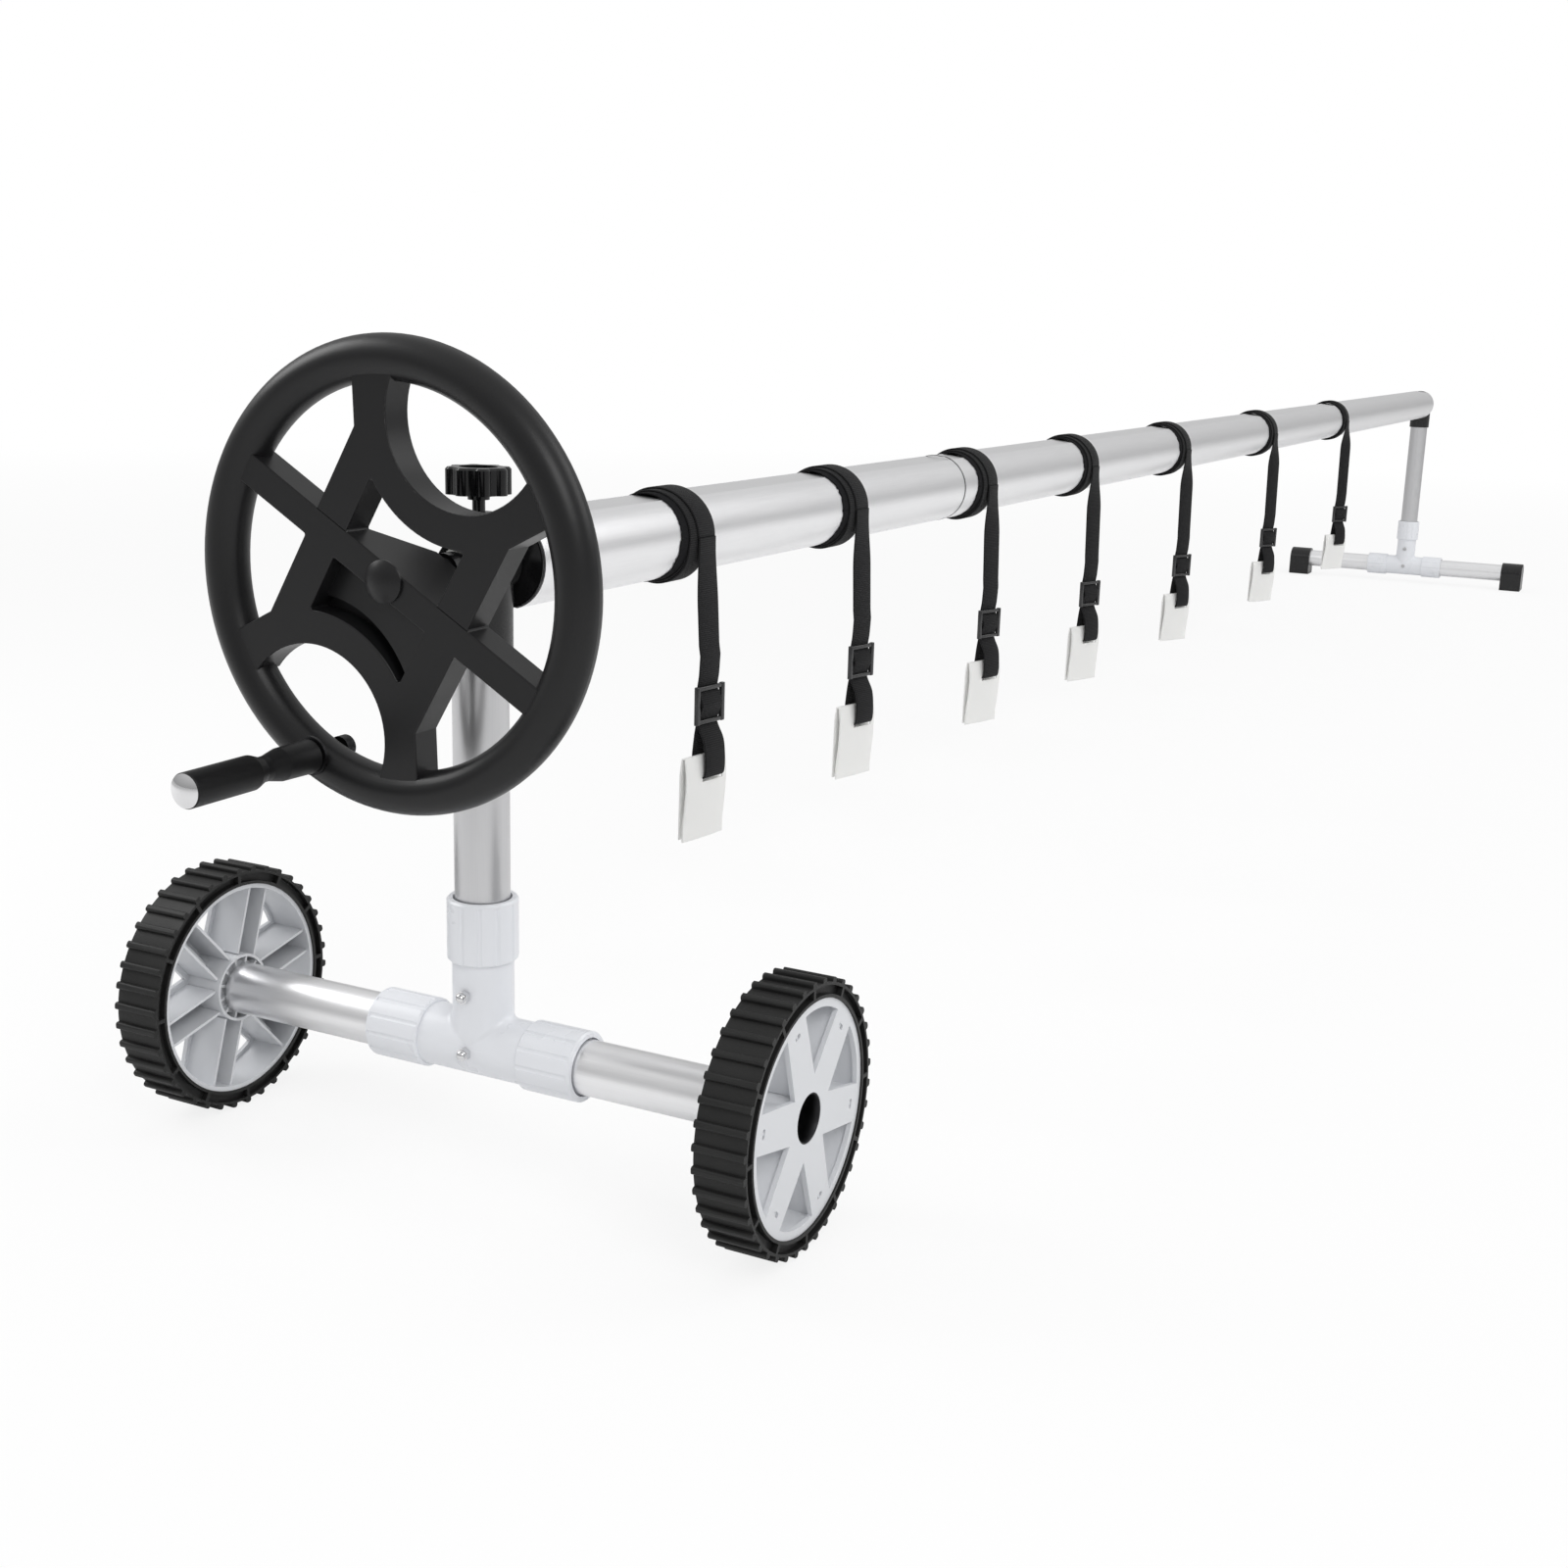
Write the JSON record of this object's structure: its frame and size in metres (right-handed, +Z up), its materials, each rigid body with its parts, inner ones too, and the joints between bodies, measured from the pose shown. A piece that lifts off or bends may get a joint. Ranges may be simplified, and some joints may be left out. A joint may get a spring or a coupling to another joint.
{
  "type": "pool cover reel",
  "caption": "Wheeled two-stand reel for a pool cover, with a long aluminium roll, a crank handwheel, a braking knob, and hanging webbing straps ending in clips.",
  "frame": {"origin": "on the ground under the middle of the reel", "axes": "+X along the roll from the handwheel to the far stand, +Z up"},
  "size_m": [4.905, 0.645, 0.6796],
  "materials": {
    "stand_tube": "satin silver anodised",
    "roll_tube": "bright satin silver extrusion",
    "plug_black": "glossy black moulded plastic",
    "tee_grey": "light grey moulded plastic",
    "black_plastic": "satin black moulded plastic",
    "bush_white": "white nylon",
    "pad_rubber": "black rubber",
    "chrome": "bright chrome",
    "screw_steel": "zinc plated steel",
    "hub_grey": "grey moulded plastic",
    "tyre": "black moulded tread",
    "axle_steel": "turned steel",
    "webbing": "grey woven webbing",
    "buckle": "dark grey moulded plastic",
    "clip": "translucent white sheet plastic"
  },
  "bodies": {
    "near_stand": {"near_pole": "stand_tube", "near_tee": "tee_grey", "near_tee_collars": "tee_grey", "near_base_bar": "stand_tube", "near_tee_bolts": "chrome", "near_head": "black_plastic", "near_bush": "bush_white", "axle_stub_left": "axle_steel", "axle_stub_right": "axle_steel", "axle_fasteners": "screw_steel"},
    "wheel_left": {"wheel_hub_left": "hub_grey", "tyre_left": "tyre"},
    "wheel_right": {"wheel_hub_right": "hub_grey", "tyre_right": "tyre"},
    "reel": {"near_plug": "plug_black", "far_plug": "plug_black", "handwheel": "black_plastic", "hub_cap": "black_plastic", "crank_spindle": "screw_steel", "crank_fasteners": "screw_steel", "roll_tube_near": "roll_tube", "roll_tube_far": "roll_tube", "tube_joiner": "roll_tube", "tube_screws": "screw_steel", "strap_wraps": "webbing"},
    "crank": {"crank_grip": "black_plastic", "grip_end_cap": "chrome"},
    "brake": {"brake_pad": "pad_rubber"},
    "knob": {"lock_knob": "black_plastic"},
    "far_stand": {"far_pole": "stand_tube", "far_tee": "tee_grey", "far_tee_collars": "tee_grey", "far_base_bar": "stand_tube", "far_tee_screws": "screw_steel", "far_head": "black_plastic", "far_bush": "bush_white", "foot_cap_left": "black_plastic", "foot_cap_right": "black_plastic"},
    "strap_1": {"strap_tail_1": "webbing", "strap_buckle_1": "buckle", "cover_clip_1": "clip"},
    "strap_2": {"strap_tail_2": "webbing", "strap_buckle_2": "buckle", "cover_clip_2": "clip"},
    "strap_3": {"strap_tail_3": "webbing", "strap_buckle_3": "buckle", "cover_clip_3": "clip"},
    "strap_4": {"strap_tail_4": "webbing", "strap_buckle_4": "buckle", "cover_clip_4": "clip"},
    "strap_5": {"strap_tail_5": "webbing", "strap_buckle_5": "buckle", "cover_clip_5": "clip"},
    "strap_6": {"strap_tail_6": "webbing", "strap_buckle_6": "buckle", "cover_clip_6": "clip"},
    "strap_7": {"strap_tail_7": "webbing", "strap_buckle_7": "buckle", "cover_clip_7": "clip"}
  },
  "joints": [
    {"name": "reel_spin", "type": "hinge", "parent": "near_stand", "child": "reel", "pos_m": [-2.1955, 0, 0.504], "axis": [1, 0, 0], "continuous": true},
    {"name": "crank_spin", "type": "hinge", "parent": "reel", "child": "crank", "pos_m": [-2.2955, 0.06827, 0.36707], "axis": [1, 0, 0], "continuous": true},
    {"name": "wheel_left_spin", "type": "hinge", "parent": "near_stand", "child": "wheel_left", "pos_m": [-2.1955, 0.279, 0.1089], "axis": [0, 1, 0], "continuous": true},
    {"name": "wheel_right_spin", "type": "hinge", "parent": "near_stand", "child": "wheel_right", "pos_m": [-2.1955, -0.279, 0.1089], "axis": [0, 1, 0], "continuous": true},
    {"name": "brake_slide", "type": "slide", "parent": "near_stand", "child": "brake", "axis": [0, 0, 1], "range_m": [0, 0.003]},
    {"name": "knob_turn", "type": "hinge", "parent": "brake", "child": "knob", "pos_m": [-2.1955, 0, 0.57], "axis": [0, 0, 1], "range_deg": [0, 720]},
    {"name": "far_stand_turn", "type": "hinge", "parent": "near_stand", "child": "far_stand", "pos_m": [2.3325, 0, 0.504], "axis": [1, 0, 0], "continuous": true},
    {"name": "strap_1_swing", "type": "hinge", "parent": "reel", "child": "strap_1", "pos_m": [-1.9155, -0.04325, 0.504], "axis": [1, 0, 0], "range_deg": [-110, 0]},
    {"name": "strap_2_swing", "type": "hinge", "parent": "reel", "child": "strap_2", "pos_m": [-1.5805, -0.04325, 0.504], "axis": [1, 0, 0], "range_deg": [-110, 0]},
    {"name": "strap_3_swing", "type": "hinge", "parent": "reel", "child": "strap_3", "pos_m": [-1.1955, -0.04325, 0.504], "axis": [1, 0, 0], "range_deg": [-110, 0]},
    {"name": "strap_4_swing", "type": "hinge", "parent": "reel", "child": "strap_4", "pos_m": [-0.7905, -0.04325, 0.504], "axis": [1, 0, 0], "range_deg": [-110, 0]},
    {"name": "strap_5_swing", "type": "hinge", "parent": "reel", "child": "strap_5", "pos_m": [-0.3005, -0.04325, 0.504], "axis": [1, 0, 0], "range_deg": [-110, 0]},
    {"name": "strap_6_swing", "type": "hinge", "parent": "reel", "child": "strap_6", "pos_m": [0.3245, -0.04325, 0.504], "axis": [1, 0, 0], "range_deg": [-110, 0]},
    {"name": "strap_7_swing", "type": "hinge", "parent": "reel", "child": "strap_7", "pos_m": [1.0295, -0.04325, 0.504], "axis": [1, 0, 0], "range_deg": [-110, 0]}
  ],
  "couplings": [
    {"joint": "brake_slide", "follows": "knob_turn", "m_per_rad": 0.00023873}
  ]
}
